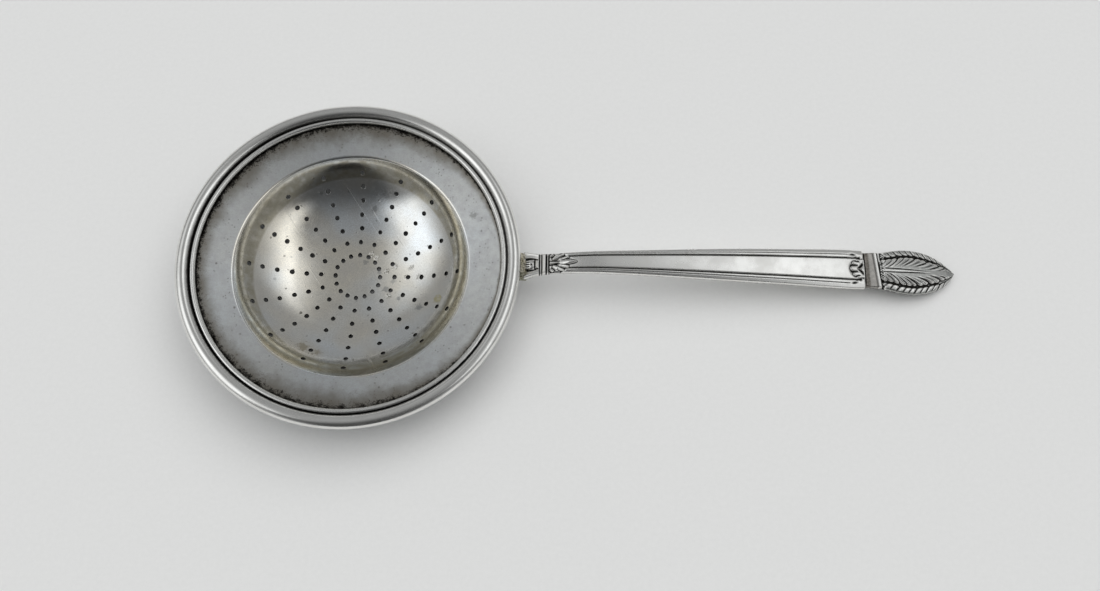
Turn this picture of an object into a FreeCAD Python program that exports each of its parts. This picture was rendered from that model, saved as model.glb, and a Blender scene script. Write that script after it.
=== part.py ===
import FreeCAD, Part
import math
import os

# Over-the-cup tea strainer in sterling silver, all sizes in millimetres.
# Frame: the bowl's axis is Z, +Z is up, the handle runs along +X, and z = 0 is the plane
# of the flat seat under the rim, so the origin is the centre of that seat.

# Spun sheet: bowl, dished flange and flat margin in one piece
SHEET = 0.6                 # thickness of the silver sheet
MARGIN_EDGE_R = 42.1        # outer edge of the flat margin
MARGIN_BEND_R = 37.5        # where the margin turns down into the flange
FLANGE_SLOPE = 12.4         # degrees, the flange falls towards the bowl
BEND_RADIUS = 1.5           # upper face, between margin and flange
LIP_R = 29.23               # radius at which flange and bowl wall would meet unrounded
LIP_RADIUS = 1.0            # rounding of the lip, upper face
WALL_SLOPE = 58.1           # degrees, bowl wall at the lip
SHOULDER_ARCS = [(13.6, 40.6), (26.0, 13.58)]   # radius, then slope in degrees at its inner end

# Perforations
RAYS = 16
RINGS = 7
HOLE_DIAMETER = 1.15
FIRST_RING = 5.87           # distance from the axis along the bowl's inner face
RING_STEP = 3.67
RAY_PHASE = -1.1            # degrees, first ray from the handle's line

# Rim mouldings, drawn wire with an oval section and a flat sole
OUTER_BEAD = {"radius": 40.785, "half_width": 1.715, "half_height": 1.45, "centre_z": 1.45}
INNER_BEAD = {"radius": 38.33, "half_width": 0.73, "half_height": 0.8, "centre_z": 1.28}

# Handle, die-struck in one piece. Its centreline lies in the XZ plane.
ROOT_X = 43.3
ROOT_Z = -1.45
NECK_SLOPE = 17.9           # degrees, the root rises outwards
NECK_START_X = 47.0
NECK_RADIUS = 62.0
CREST_SLOPE = 1.4           # degrees, where the neck curve runs into the long arch
ARCH_RADIUS = 620.0
ARCH_END_SLOPE = -5.0
TIP_RADIUS = 250.0
TIP_X = 153.0

# Outlines in plan, as x and half width. Both sides of the handle are the same.
ROOT_OUTLINE = [(43.3, 3.75), (44.6, 3.4), (46.0, 3.05), (47.5, 2.8)]
RING_HALF_WIDTH = 2.78
RING_END_X = 48.6
COLLAR_HALF_WIDTH = 2.65
COLLAR_END_X = 49.7
SHAFT_OUTLINE = [
    (49.7, 2.72), (57.3, 2.88), (66.3, 3.14), (84.3, 3.86),
    (96.3, 4.35), (111.6, 4.82), (124.6, 5.22), (128.9, 4.95),
]
PANEL_START_X = 56.5
PANEL_END_X = 126.0
FERRULE_OUTLINE = [(128.9, 4.58), (131.9, 4.72)]
RIDGE_HALF_WIDTH = 4.78
FINIAL_OUTLINE = [
    (133.2, 4.8), (135.2, 5.2), (137.6, 5.7), (140.6, 5.98),
    (143.6, 5.77), (147.0, 4.95), (150.0, 3.15), (152.2, 1.05),
]
HALF_THICKNESS = 1.15
ROOT_HALF_THICKNESS = 1.6
FINIAL_HALF_THICKNESS = 1.45
FINIAL_CROWN_RADIUS = 20.0
PANEL_DEPTH = 0.25
PANEL_SHARE = 0.72          # of the shaft's half width
REED_SHARES = (0.86, 0.92)  # the groove beside each edge

# Solder that joins the handle's root to the rim
SOLDER_INNER_R = 41.3
SOLDER_OUTER_X = 43.8
SOLDER_HALF_WIDTH = 4.1
SOLDER_LOW_Z = -2.9
SOLDER_HIGH_Z = 1.5

vec = FreeCAD.Vector
UP = vec(0, 0, 1)


def slope_direction(slope):
    return vec(math.cos(math.radians(slope)), 0, math.sin(math.radians(slope)))


def slope_normal(slope):
    return vec(-math.sin(math.radians(slope)), 0, math.cos(math.radians(slope)))


class Walk:
    """A chain of tangent lines and arcs in the XZ plane, which can be offset sideways."""

    def __init__(self, start, slope):
        self.point = start
        self.slope = slope
        self.stations = [(start, slope)]
        self.runs = []

    def line(self, length):
        self.point = self.point + slope_direction(self.slope) * length
        self.stations.append((self.point, self.slope))
        self.runs.append((self.stations[-2], self.stations[-2], self.stations[-1]))

    def arc(self, radius, end_slope):
        turn = 1 if end_slope > self.slope else -1
        centre = self.point + slope_normal(self.slope) * radius * turn
        middle_slope = (self.slope + end_slope) / 2
        middle = centre - slope_normal(middle_slope) * radius * turn
        self.point = centre - slope_normal(end_slope) * radius * turn
        self.slope = end_slope
        self.stations.append((self.point, end_slope))
        self.runs.append((self.stations[-2], (middle, middle_slope), self.stations[-1]))

    def edges(self, offset):
        made = []
        for first, middle, last in self.runs:
            a, m, b = [p + slope_normal(s) * offset for p, s in (first, middle, last)]
            straight = first[1] == last[1]
            made.append(Part.LineSegment(a, b).toShape() if straight else Part.Arc(a, m, b).toShape())
        return made

    def ends(self, offset):
        return [p + slope_normal(s) * offset for p, s in (self.stations[0], self.stations[-1])]


def band_face(walk, low, high):
    """The face between two offsets of a walk."""
    low_start, low_end = walk.ends(low)
    high_start, high_end = walk.ends(high)
    edges = walk.edges(low) + walk.edges(high)
    edges.append(Part.LineSegment(low_end, high_end).toShape())
    edges.append(Part.LineSegment(high_start, low_start).toShape())
    return Part.Face(Part.Wire(Part.sortEdges(edges)[0]))


def bowl_walk():
    """The sheet's upper face from the bowl's axis out to the margin's edge."""
    radius_2, slope_1 = SHOULDER_ARCS[1]
    radius_3, slope_2 = SHOULDER_ARCS[0]
    tangent = LIP_RADIUS * math.tan(math.radians(WALL_SLOPE - FLANGE_SLOPE) / 2)
    wall_r = LIP_R - tangent * math.cos(math.radians(WALL_SLOPE))
    sin_wall, sin_2, sin_1 = [math.sin(math.radians(a)) for a in (WALL_SLOPE, slope_2, slope_1)]
    floor_r = wall_r - radius_3 * (sin_wall - sin_2) - radius_2 * (sin_2 - sin_1)
    floor_radius = floor_r / sin_1
    bend_tangent = BEND_RADIUS * math.tan(math.radians(FLANGE_SLOPE) / 2)
    flange_run = (MARGIN_BEND_R - LIP_R) / math.cos(math.radians(FLANGE_SLOPE)) - tangent - bend_tangent
    walk = Walk(vec(0, 0, 0), 0)
    walk.arc(floor_radius, slope_1)
    walk.arc(radius_2, slope_2)
    walk.arc(radius_3, WALL_SLOPE)
    walk.arc(LIP_RADIUS, FLANGE_SLOPE)
    walk.line(flange_run)
    walk.arc(BEND_RADIUS, 0)
    walk.line(MARGIN_EDGE_R - walk.point.x)
    drop = vec(0, 0, SHEET - walk.point.z)
    walk.stations = [(p + drop, s) for p, s in walk.stations]
    walk.runs = [tuple((p + drop, s) for p, s in run) for run in walk.runs]
    walk.arc_radii = [floor_radius, radius_2, radius_3]
    return walk


def bowl_point(walk, distance):
    """Point and slope on the bowl's inner face, at a distance from the axis along that face."""
    for number, radius in enumerate(walk.arc_radii):
        start, start_slope = walk.stations[number]
        end_slope = walk.stations[number + 1][1]
        length = radius * math.radians(end_slope - start_slope)
        if distance <= length:
            slope = start_slope + math.degrees(distance / radius)
            centre = start + slope_normal(start_slope) * radius
            return centre - slope_normal(slope) * radius, slope
        distance -= length
    raise ValueError("the ring lies outside the bowl")


def perforations(walk):
    """Drills normal to the bowl, on straight rays and evenly spaced rings."""
    drills = []
    reach = 4 * SHEET
    for ring in range(RINGS):
        point, slope = bowl_point(walk, FIRST_RING + ring * RING_STEP)
        normal = slope_normal(slope)
        start = point + normal * reach / 2
        drill = Part.makeCylinder(HOLE_DIAMETER / 2, reach, start, normal * -1)
        for ray in range(RAYS):
            angle = RAY_PHASE + ray * 360.0 / RAYS
            turned = drill.copy()
            turned.rotate(vec(0, 0, 0), UP, angle)
            drills.append(turned)
    return drills


def make_bowl(walk):
    """Revolve the sheet's section and drill it."""
    section = band_face(walk, -SHEET, 0)
    sheet = section.revolve(vec(0, 0, 0), UP, 360)
    return sheet.cut(perforations(walk))


def make_bead(bead):
    """A ring of oval wire, cut flat where it is soldered to the margin."""
    centre = vec(bead["radius"], 0, bead["centre_z"])
    side = centre + vec(bead["half_width"], 0, 0)
    top = centre + vec(0, 0, bead["half_height"])
    ends = (top, side) if bead["half_height"] > bead["half_width"] else (side, top)
    oval = Part.Ellipse(ends[0], ends[1], centre).toShape()
    ring = Part.Face(Part.Wire([oval])).revolve(vec(0, 0, 0), UP, 360)
    below = Part.makeCylinder(MARGIN_EDGE_R + 5, 10, vec(0, 0, SHEET - 10))
    return ring.cut(below)


def handle_walk():
    """The handle's centreline from root to tip: rising neck, long low arch, drooping tip."""
    walk = Walk(vec(ROOT_X, 0, ROOT_Z), NECK_SLOPE)
    walk.line((NECK_START_X - ROOT_X) / math.cos(math.radians(NECK_SLOPE)))
    walk.arc(NECK_RADIUS, CREST_SLOPE)
    walk.arc(ARCH_RADIUS, ARCH_END_SLOPE)
    tip_sine = math.sin(math.radians(ARCH_END_SLOPE)) - (TIP_X - walk.point.x) / TIP_RADIUS
    walk.arc(TIP_RADIUS, math.degrees(math.asin(tip_sine)))
    return walk


def band(walk, low, high):
    """A wide slab that follows the centreline between two heights."""
    width = 3 * max(half for _, half in SHAFT_OUTLINE)
    face = band_face(walk, low, high)
    face.translate(vec(0, -width / 2, 0))
    return face.extrude(vec(0, width, 0))


def plan(points):
    """A tall prism over a plan outline that is the same on both sides of the handle's line."""
    around = points + [(x, -y) for x, y in reversed(points)]
    wire = Part.makePolygon([vec(x, y, -30) for x, y in around + around[:1]])
    return Part.Face(wire).extrude(vec(0, 0, 60))


def finial_plan():
    """The leaf's outline: one smooth curve up each side, meeting in a point."""
    sides = []
    for sign in (1, -1):
        curve = Part.BSplineCurve()
        points = FINIAL_OUTLINE + [(TIP_X, 0)]
        curve.interpolate([vec(x, sign * y, -30) for x, y in points])
        sides.append(curve.toShape())
    start, half = FINIAL_OUTLINE[0]
    back = Part.LineSegment(vec(start, half, -30), vec(start, -half, -30)).toShape()
    wire = Part.Wire(Part.sortEdges(sides + [back])[0])
    return Part.Face(wire).extrude(vec(0, 0, 60))


def shaft_half_width(x):
    """Half width of the shaft at x, straight between the stations of its outline."""
    for (x1, half_1), (x2, half_2) in zip(SHAFT_OUTLINE, SHAFT_OUTLINE[1:]):
        if x <= x2:
            return half_1 + (half_2 - half_1) * (x - x1) / (x2 - x1)
    return SHAFT_OUTLINE[-1][1]


def panel_plan(share):
    """The shaft's outline between the panel's ends, narrowed to a share of its width."""
    between = [x for x, _ in SHAFT_OUTLINE if PANEL_START_X < x < PANEL_END_X]
    stations = [PANEL_START_X] + between + [PANEL_END_X]
    return plan([(x, shaft_half_width(x) * share) for x in stations])


def make_root(walk):
    """The flared capital at the root and the two rings of the collar."""
    neck_x = ROOT_OUTLINE[-1][0]
    capital = plan(ROOT_OUTLINE).common(band(walk, -ROOT_HALF_THICKNESS, 1.3))
    ring_plan = plan([(neck_x, RING_HALF_WIDTH), (RING_END_X, RING_HALF_WIDTH)])
    fine_plan = plan([(RING_END_X, COLLAR_HALF_WIDTH), (COLLAR_END_X, COLLAR_HALF_WIDTH)])
    ring = ring_plan.common(band(walk, -1.35, 1.45))
    fine = fine_plan.common(band(walk, -HALF_THICKNESS, 1.25))
    return capital.fuse([ring, fine])


def make_shaft(walk):
    """Tapered shaft with a sunk panel and a reed groove beside each edge."""
    shaft = plan(SHAFT_OUTLINE).common(band(walk, -HALF_THICKNESS, HALF_THICKNESS))
    sunk = band(walk, HALF_THICKNESS - PANEL_DEPTH, HALF_THICKNESS + 2)
    inner, outer = REED_SHARES
    reeds = panel_plan(outer).cut(panel_plan(inner))
    return shaft.cut([panel_plan(PANEL_SHARE).common(sunk), reeds.common(sunk)])


def make_ferrule(walk):
    """The plain waisted band and the ridge between shaft and finial."""
    ridge_ends = (FERRULE_OUTLINE[-1][0], FINIAL_OUTLINE[0][0])
    ridge = plan([(x, RIDGE_HALF_WIDTH) for x in ridge_ends])
    low_band = band(walk, -HALF_THICKNESS + 0.1, HALF_THICKNESS - 0.25)
    waist = plan(FERRULE_OUTLINE).common(low_band)
    return waist.fuse(ridge.common(band(walk, -HALF_THICKNESS, 1.2)))


def tip_point(walk, x):
    """The centreline's point at x on the drooping tip arc."""
    start, slope = walk.stations[-2]
    centre = start - slope_normal(slope) * TIP_RADIUS
    run = x - centre.x
    return vec(x, 0, centre.z + math.sqrt(TIP_RADIUS ** 2 - run ** 2))


def make_finial(walk):
    """A crowned leaf with a raised midrib between two vein grooves."""
    leaf = finial_plan().common(band(walk, -HALF_THICKNESS, FINIAL_HALF_THICKNESS))
    along = slope_direction(ARCH_END_SLOPE - 2)
    middle = tip_point(walk, (FINIAL_OUTLINE[0][0] + TIP_X) / 2)
    crown_centre = middle + vec(0, 0, FINIAL_HALF_THICKNESS - FINIAL_CROWN_RADIUS)
    crown = Part.makeCylinder(FINIAL_CROWN_RADIUS, 40, crown_centre - along * 20, along)
    leaf = leaf.common(crown)
    groove_depth = band(walk, FINIAL_HALF_THICKNESS - 0.55, FINIAL_HALF_THICKNESS + 2)
    grooves = []
    for sign in (1, -1):
        inner = Part.Arc(vec(135.2, sign * 2.9, -30), vec(142.5, sign * 3.0, -30), vec(150.0, sign * 1.0, -30))
        outer = Part.Arc(vec(150.0, sign * 1.0, -30), vec(142.5, sign * 3.35, -30), vec(135.2, sign * 3.2, -30))
        close = Part.LineSegment(vec(135.2, sign * 3.2, -30), vec(135.2, sign * 2.9, -30))
        wire = Part.Wire([inner.toShape(), outer.toShape(), close.toShape()])
        grooves.append(Part.Face(wire).extrude(vec(0, 0, 60)).common(groove_depth))
    return leaf.cut(grooves)


def make_handle(walk):
    pieces = [make_shaft(walk), make_ferrule(walk), make_finial(walk)]
    return make_root(walk).fuse(pieces).removeSplitter()


def make_solder(handle, bowl, beads):
    """A fillet of solder from the rim's outer side to the root, hugging both."""
    outer = Part.makeBox(
        SOLDER_OUTER_X - SOLDER_INNER_R,
        2 * SOLDER_HALF_WIDTH,
        SOLDER_HIGH_Z - SOLDER_LOW_Z,
        vec(SOLDER_INNER_R, -SOLDER_HALF_WIDTH, SOLDER_LOW_Z),
    )
    corners = [e for e in outer.Edges if e.BoundBox.XMin > SOLDER_INNER_R + 0.1]
    lump = outer.makeFillet(1.1, corners)
    keep_out = Part.makeCylinder(MARGIN_EDGE_R + 0.05, 10, vec(0, 0, -10))
    return lump.cut([keep_out, handle, bowl] + beads)


bowl_line = bowl_walk()
handle_line = handle_walk()
parts = {
    "strainer_bowl": make_bowl(bowl_line),
    "rim_bead_outer": make_bead(OUTER_BEAD),
    "rim_bead_inner": make_bead(INNER_BEAD),
    "handle": make_handle(handle_line),
}
beads = [parts["rim_bead_outer"], parts["rim_bead_inner"]]
parts["handle_solder"] = make_solder(parts["handle"], parts["strainer_bowl"], beads)

os.makedirs("parts", exist_ok=True)
for name, shape in parts.items():
    shape.exportStep("parts/" + name + ".step")
    box = shape.BoundBox
    print(name, len(shape.Solids), "solid", shape.isValid(), round(shape.Volume, 1), "mm3",
          [round(v, 2) for v in (box.XMin, box.XMax, box.YMin, box.YMax, box.ZMin, box.ZMax)])
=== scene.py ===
import math

import bpy
import numpy as np
from mathutils import Matrix, Vector


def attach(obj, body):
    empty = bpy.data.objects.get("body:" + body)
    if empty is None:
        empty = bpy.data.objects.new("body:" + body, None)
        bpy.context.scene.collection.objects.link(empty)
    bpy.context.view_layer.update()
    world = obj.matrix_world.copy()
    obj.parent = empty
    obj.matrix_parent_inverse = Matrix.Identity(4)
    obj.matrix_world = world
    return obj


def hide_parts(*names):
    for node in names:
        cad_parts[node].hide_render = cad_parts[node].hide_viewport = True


# An over-the-cup tea strainer in aged sterling silver. Lengths are millimetres in the CAD's frame
# unless a comment says metres.
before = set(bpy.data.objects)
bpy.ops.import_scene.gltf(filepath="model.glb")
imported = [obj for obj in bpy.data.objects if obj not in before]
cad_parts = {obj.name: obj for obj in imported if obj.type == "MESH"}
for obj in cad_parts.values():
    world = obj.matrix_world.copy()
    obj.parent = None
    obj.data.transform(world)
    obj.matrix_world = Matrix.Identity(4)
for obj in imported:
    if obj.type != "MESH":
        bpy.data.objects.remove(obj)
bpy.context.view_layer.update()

MM = 0.001
rng = np.random.default_rng(41)


def smooth(low, high, x):
    """0 below low, 1 above high, and a soft step between."""
    t = np.clip((x - low) / (high - low), 0, 1)
    return t * t * (3 - 2 * t)


def bell(distance, width):
    """1 at a distance of 0, falling away smoothly on both sides."""
    return np.exp(-(distance / width) ** 2)


# ------------------------ mesh helpers

def make_piece(name, points, faces, node, slot, material, normals=None, **attributes):
    """A mesh piece that stands for a CAD node and rides on the part's one body."""
    mesh = bpy.data.meshes.new(name)
    mesh.from_pydata((np.asarray(points) * MM).tolist(), [], faces)
    mesh.polygons.foreach_set("use_smooth", [True] * len(mesh.polygons))
    for key, values in attributes.items():
        layer = mesh.attributes.new(key, "FLOAT", "POINT")
        layer.data.foreach_set("value", np.asarray(values, np.float32))
    mesh.update()
    if normals is not None:
        mesh.normals_split_custom_set_from_vertices(np.asarray(normals).tolist())
    piece = bpy.data.objects.new(name, mesh)
    bpy.context.scene.collection.objects.link(piece)
    mesh.materials.append(material)
    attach(piece, "root")
    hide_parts(node)


# ------------------------ the sheet: bowl, flange, margin

SHEET = 0.6  # thickness
MARGIN_EDGE_R = 42.1  # outer edge of the flat margin
MARGIN_BEND_R = 37.5  # where the margin turns down into the flange
FLANGE_SLOPE = 12.4  # degrees
BEND_RADIUS = 1.5
LIP_R = 29.23  # where flange and wall would meet if the lip weren't rounded
LIP_RADIUS = 1.0
WALL_SLOPE = 58.1  # degrees
FLOOR_RADIUS = 65.998  # the bowl's floor is part of a sphere
FLOOR_SLOPE = 13.58  # degrees, at the floor's edge
SHOULDER_ARCS = ((26.0, 40.6), (13.6, WALL_SLOPE))  # radius, and slope at the outer end

RAYS = 16
RINGS = 7
HOLE_R = 0.575
HOLE_LIP = 0.07  # rounding of a hole's edge
HOLE_DRIFT = 0.07  # how far a hole strays from its ray and ring
HOLE_SPREAD = 0.03  # how much holes differ in size and roundness
FIRST_RING = 5.87  # distance from the axis along the sheet
RING_STEP = 3.67
RAY_PHASE = math.radians(-1.1)
CENTRE_ROWS = (3.3, 2.5, 1.7, 0.8)  # inside the first ring of cells
EDGE_INSET = 0.12
EDGE_ROWS = ((0.03, 0.03, 0.8), (0.0, 0.12, 1.57),  # inset, depth and the normal's tilt
             (0.0, 0.48, 1.57), (0.03, 0.57, 2.3))


class SheetLine:
    """The sheet's upper face from the axis outwards, as runs of constant curvature."""

    def __init__(self):
        self.runs = []
        self.here = [0.0, 0.0, 0.0, 0.0]  # distance, radius, height, slope
        self.arc(FLOOR_RADIUS, FLOOR_SLOPE)
        for radius, slope in SHOULDER_ARCS:
            self.arc(radius, slope)
        self.lip_start = self.here[0]
        self.arc(LIP_RADIUS, FLANGE_SLOPE)
        self.lip_end = self.here[0]
        tangent = LIP_RADIUS * math.tan(math.radians(WALL_SLOPE - FLANGE_SLOPE) / 2)
        bend_tangent = BEND_RADIUS * math.tan(math.radians(FLANGE_SLOPE) / 2)
        cone = (MARGIN_BEND_R - LIP_R) / math.cos(math.radians(FLANGE_SLOPE))
        self.add(0.0, cone - tangent - bend_tangent)
        self.bend_start = self.here[0]
        self.arc(BEND_RADIUS, 0)
        self.bend_end = self.here[0]
        self.add(0.0, MARGIN_EDGE_R - self.here[1])
        self.length = self.here[0]
        self.lift = SHEET - self.here[2]

    def add(self, curvature, length):
        s, r, z, slope = self.here
        self.runs.append((s, r, z, slope, curvature))
        end = slope + curvature * length
        if curvature:
            r += (math.sin(end) - math.sin(slope)) / curvature
            z -= (math.cos(end) - math.cos(slope)) / curvature
        else:
            r += length * math.cos(slope)
            z += length * math.sin(slope)
        self.here = [s + length, r, z, end]

    def arc(self, radius, end_slope):
        turn = math.radians(end_slope) - self.here[3]
        self.add(math.copysign(1 / radius, turn), abs(turn) * radius)

    def at(self, s):
        """Radius, height and slope at a distance s from the axis along the face."""
        s = np.asarray(s, float)
        r, z, slope = np.zeros_like(s), np.zeros_like(s), np.zeros_like(s)
        for start, r0, z0, slope0, curvature in self.runs:
            here = s >= start - 1e-9
            d = s[here] - start
            a = slope0 + curvature * d
            slope[here] = a
            if curvature:
                r[here] = r0 + (np.sin(a) - math.sin(slope0)) / curvature
                z[here] = z0 - (np.cos(a) - math.cos(slope0)) / curvature
            else:
                r[here] = r0 + d * math.cos(slope0)
                z[here] = z0 + d * math.sin(slope0)
        return r, z + self.lift, slope

    def place(self, s, phi, depth):
        """Points below the upper face, and the directions out, along and around there."""
        s, phi, depth = np.broadcast_arrays(*(np.asarray(v, float) for v in (s, phi, depth)))
        r, z, slope = self.at(s)
        cos_phi, sin_phi = np.cos(phi), np.sin(phi)
        out = np.stack([-np.sin(slope) * cos_phi, -np.sin(slope) * sin_phi, np.cos(slope)], -1)
        along = np.stack([np.cos(slope) * cos_phi, np.cos(slope) * sin_phi, np.sin(slope)], -1)
        around = np.stack([-sin_phi, cos_phi, np.zeros_like(phi)], -1)
        points = np.stack([r * cos_phi, r * sin_phi, z], -1) - out * depth[..., None]
        return points, out, along, around


def unit(vectors):
    return vectors / np.linalg.norm(vectors, axis=-1, keepdims=True)


class SheetMesh:
    """The perforated sheet. Each hole has its own cell, and neighbours share their border.

    dark is 1 on a hole's wall, which is painted black as shade inside the hole, and under is 1 on
    the lower face."""

    SIDE = 8  # border segments on each side of a cell
    COLUMNS = RAYS * SIDE

    def __init__(self, line):
        self.line = line
        self.points, self.normals, self.dark, self.under, self.faces = [], [], [], [], []
        self.count = 0
        self.shared = {}
        self.low = FIRST_RING - RING_STEP / 2
        self.high = self.low + RINGS * RING_STEP
        for ring in range(RINGS):
            for ray in range(RAYS):
                self.cell(ring, ray)
        self.centre()
        self.outside()

    def column_angle(self, column):
        return RAY_PHASE + (column - self.SIDE / 2) * 2 * math.pi / self.COLUMNS

    def row_distance(self, row):
        return self.low + row * RING_STEP / self.SIDE

    def add(self, points, normals, dark=0.0, under=0.0):
        first = self.count
        self.points.append(points)
        self.normals.append(normals)
        self.dark.append(np.full(len(points), dark))
        self.under.append(np.full(len(points), under))
        self.count += len(points)
        return list(range(first, self.count))

    def border(self, keys, face):
        """Indices of border vertices on the upper (face 0) or lower (face 1) side, made once."""
        wanted = [(face, column % self.COLUMNS, row) for column, row in keys]
        new = [key for key in wanted if key not in self.shared]
        if new:
            s = np.array([self.row_distance(row) for _, _, row in new])
            phi = np.array([self.column_angle(column) for _, column, _ in new])
            points, out, _, _ = self.line.place(s, phi, face * SHEET)
            self.shared.update(zip(new, self.add(points, out * (1 - 2 * face), under=face)))
        return [self.shared[key] for key in wanted]

    def bridge(self, first, second):
        """Quads between two closed rows of the same length, facing out of the sheet."""
        for i in range(len(first)):
            j = (i + 1) % len(first)
            self.faces.append((first[i], second[i], second[j], first[j]))

    def cell(self, ring, ray):
        side = self.SIDE
        column, row = ray * side, ring * side
        keys = [(column + i, row) for i in range(side)]
        keys += [(column + side, row + i) for i in range(side)]
        keys += [(column + side - i, row + side) for i in range(side)]
        keys += [(column, row + side - i) for i in range(side)]
        drift = rng.normal(0, HOLE_DRIFT, 2)
        radius = HOLE_R * (1 + rng.normal(0, HOLE_SPREAD))
        oval = 1 + rng.normal(0, HOLE_SPREAD)
        s0 = FIRST_RING + ring * RING_STEP + drift[0]
        r0 = self.line.at(s0)[0]
        phi0 = self.column_angle(column + side / 2) + drift[1] / r0
        s_edge = np.array([self.row_distance(k[1]) for k in keys])
        phi_edge = np.array([self.column_angle(k[0]) for k in keys])
        u_edge = (phi_edge - phi0) * self.line.at(s_edge)[0]
        v_edge = s_edge - s0
        turn = np.radians(-135) + np.arange(len(keys)) * 2 * np.pi / len(keys)
        cos_t, sin_t = np.cos(turn), np.sin(turn)
        quarter = math.pi / 2
        rows = [self.border(keys, 0)]

        def add_row(share, reach, depth, tilt, face):
            """A ring of vertices round the hole. tilt turns the normal towards the hole's axis."""
            u = (1 - share) * u_edge + share * (radius + reach) * cos_t * oval
            v = (1 - share) * v_edge + share * (radius + reach) * sin_t / oval
            s = s0 + v
            points, out, along, around = self.line.place(s, phi0 + u / self.line.at(s)[0], depth)
            inward = -(cos_t[:, None] * around + sin_t[:, None] * along)
            normals = unit(out * face * math.cos(tilt) + inward * math.sin(tilt))
            # painted shade: the hole's wall is coloured black, as the inside of a hole looks in
            # shade
            dark = np.clip((tilt - 0.5) / 1.07, 0, 1)
            rows.append(self.add(points, normals, dark, float(face < 0)))

        for share in (0.45, 0.8, 1.0):
            add_row(share, HOLE_LIP, 0.0, 0.0, 1)
        add_row(1.0, HOLE_LIP * 0.3, HOLE_LIP * 0.3, quarter / 2, 1)
        add_row(1.0, 0.0, HOLE_LIP, quarter, 1)
        add_row(1.0, 0.0, SHEET - HOLE_LIP, quarter, 1)
        add_row(1.0, HOLE_LIP * 0.6, SHEET, 0.0, -1)
        add_row(0.7, HOLE_LIP, SHEET, 0.0, -1)
        rows.append(self.border(keys, 1))
        for first, second in zip(rows, rows[1:]):
            self.bridge(first, second)

    def full_row(self, s, depth, tilt_out=None):
        """A closed row of vertices round the axis. tilt_out turns the normal outwards and down."""
        phi = np.array([self.column_angle(c) for c in range(self.COLUMNS)])
        points, out, along, _ = self.line.place(np.full(self.COLUMNS, s), phi, depth)
        if tilt_out is None:
            normals = out if depth < SHEET / 2 else -out
        else:
            normals = unit(out * math.cos(tilt_out) + along * math.sin(tilt_out))
        return self.add(points, normals, under=float(depth > SHEET / 2))

    def centre(self):
        for face in (0, 1):
            keys = [(c, 0) for c in range(self.COLUMNS)]
            row = self.border(keys, face)
            for s in CENTRE_ROWS:
                inner = self.full_row(s, face * SHEET)
                pair = (inner, row) if face == 0 else (row, inner)
                self.bridge(*pair)
                row = inner
            point, out, _, _ = self.line.place(np.array([0.0]), np.array([0.0]), face * SHEET)
            middle = self.add(point, out * (1 - 2 * face), under=face)[0]
            for i in range(self.COLUMNS):
                j = (i + 1) % self.COLUMNS
                ends = (row[i], row[j]) if face == 0 else (row[j], row[i])
                self.faces.append((middle, *ends))

    def outside(self):
        line = self.line
        stops = ((self.high, line.lip_start, 4), (line.lip_start, line.lip_end, 9),
                 (line.lip_end, line.bend_start, 10), (line.bend_start, line.bend_end, 5),
                 (line.bend_end, line.length - EDGE_INSET, 5))
        stations = [s for first, last, count in stops for s in np.linspace(first, last, count)[1:]]
        keys = [(c, RINGS * self.SIDE) for c in range(self.COLUMNS)]
        rows = [self.border(keys, 0)]
        rows += [self.full_row(s, 0.0) for s in stations]
        for inset, depth, tilt in EDGE_ROWS:
            rows.append(self.full_row(line.length - inset, depth, tilt))
        rows += [self.full_row(s, SHEET) for s in reversed(stations)]
        rows.append(self.border(keys, 1))
        for first, second in zip(rows, rows[1:]):
            self.bridge(first, second)


# ------------------------ the rim's two wires

OUTER_WIRE = (40.785, 1.715, 1.45, 1.45)  # radius, half width, half height, centre z
INNER_WIRE = (38.33, 0.73, 0.8, 1.28)
WIRE_WANDER = 0.008  # how unevenly the wire is drawn


def wire_ring(radius, half_width, half_height, centre_z, columns=360, section=34):
    """A ring of oval wire with a flat sole, which has its own vertices for a sharp edge."""
    low = math.asin((SHEET - centre_z) / half_height)
    t = np.linspace(low, math.pi - low, section)
    phi = np.arange(columns) * 2 * math.pi / columns
    waves = sum(np.sin(phi * k + rng.uniform(0, 6.28)) / k for k in (2, 3, 5, 9, 14)) / 2
    shrink = 1 - WIRE_WANDER * (1 + np.clip(waves, -1, 1))
    points, normals = [], []
    for angle, scale in zip(phi, shrink):
        r = radius + half_width * scale * np.cos(t)
        z = centre_z + half_height * np.sin(t) * np.where(np.sin(t) > 0, scale, 1)
        across = unit(np.stack([np.cos(t) / half_width, np.sin(t) / half_height], -1))
        cos_a, sin_a = math.cos(angle), math.sin(angle)
        points.append(np.stack([r * cos_a, r * sin_a, z], -1))
        normals.append(np.stack([across[:, 0] * cos_a, across[:, 0] * sin_a, across[:, 1]], -1))
        sole = points[-1][[-1, 0]]
        points.append(sole)
        normals.append(np.tile([0.0, 0.0, -1.0], (2, 1)))
    size = section + 2
    faces = []
    for c in range(columns):
        here, there = c * size, (c + 1) % columns * size
        for i in (*range(section - 1), section):
            faces.append((here + i, there + i, there + i + 1, here + i + 1))
    return np.concatenate(points), faces, np.concatenate(normals)


# ------------------------ the handle

ROOT_X = 43.3
NECK_START_X = 47.0
COLLAR_END_X = 49.7
SHAFT_END_X = 128.9
FINIAL_X = 133.2
TIP_X = 153.0
CENTRE_START_Z = -1.45
CENTRE_RUNS = ((62.0, 17.9, 1.4), (620.0, 1.4, -5.0),  # radius, first and last slope in degrees
               (250.0, -5.0, -12.0))

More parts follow.
